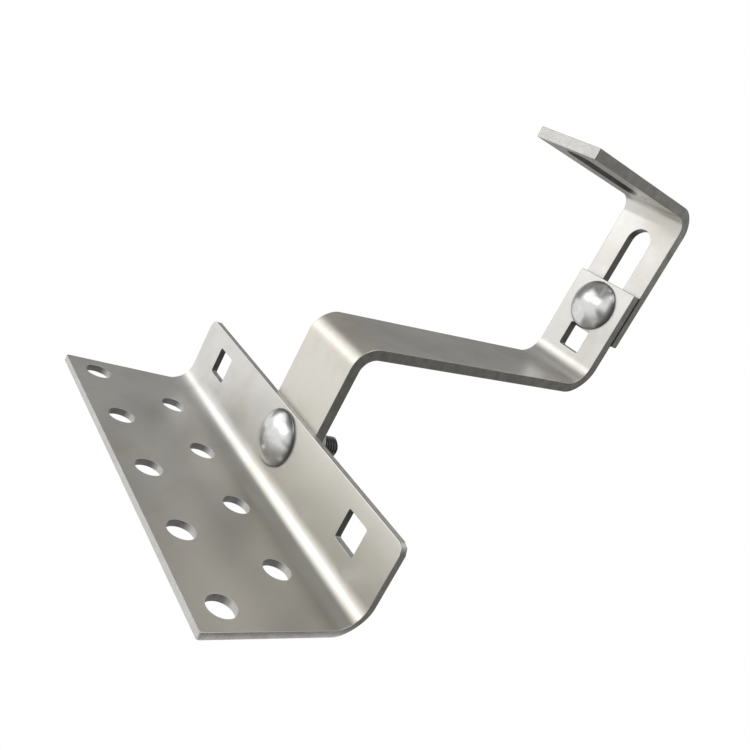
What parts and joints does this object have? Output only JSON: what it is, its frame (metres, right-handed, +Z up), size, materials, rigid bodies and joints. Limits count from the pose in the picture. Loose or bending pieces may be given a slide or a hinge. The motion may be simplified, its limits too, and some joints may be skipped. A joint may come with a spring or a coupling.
{
  "type": "solar roof hook",
  "caption": "Height-adjustable roof hook: a folded screw-down base, a bent flat-bar arm and a slotted top bracket that carries a panel rail.",
  "frame": {"origin": "on the underside of the base plate, midway between its two rows of screw holes and midway along it", "axes": "+Z up from the roof, +X from the plate towards its flange and on along the arm, +Y along the plate"},
  "size_m": [0.191, 0.147, 0.1561],
  "materials": {
    "plate_steel": "satin folded stainless sheet",
    "bar_steel": "satin bent stainless flat bar with sheared edges",
    "bolt_steel": "polished stainless cup head",
    "fixing_steel": "bright stainless nut and washers"
  },
  "bodies": {
    "hook": {"base_plate": "plate_steel", "arm": "bar_steel", "lower_carriage_bolt": "bolt_steel", "lower_flat_washer": "fixing_steel", "lower_spring_washer": "fixing_steel", "lower_hex_nut": "fixing_steel", "upper_carriage_bolt": "bolt_steel", "upper_flat_washer": "fixing_steel", "upper_spring_washer": "fixing_steel", "upper_hex_nut": "fixing_steel"},
    "bracket": {"top_bracket": "bar_steel"}
  },
  "joints": [
    {"name": "bracket_height", "type": "slide", "parent": "hook", "child": "bracket", "axis": [0, 0, 1], "range_m": [-0.028, 0.0014]}
  ]
}
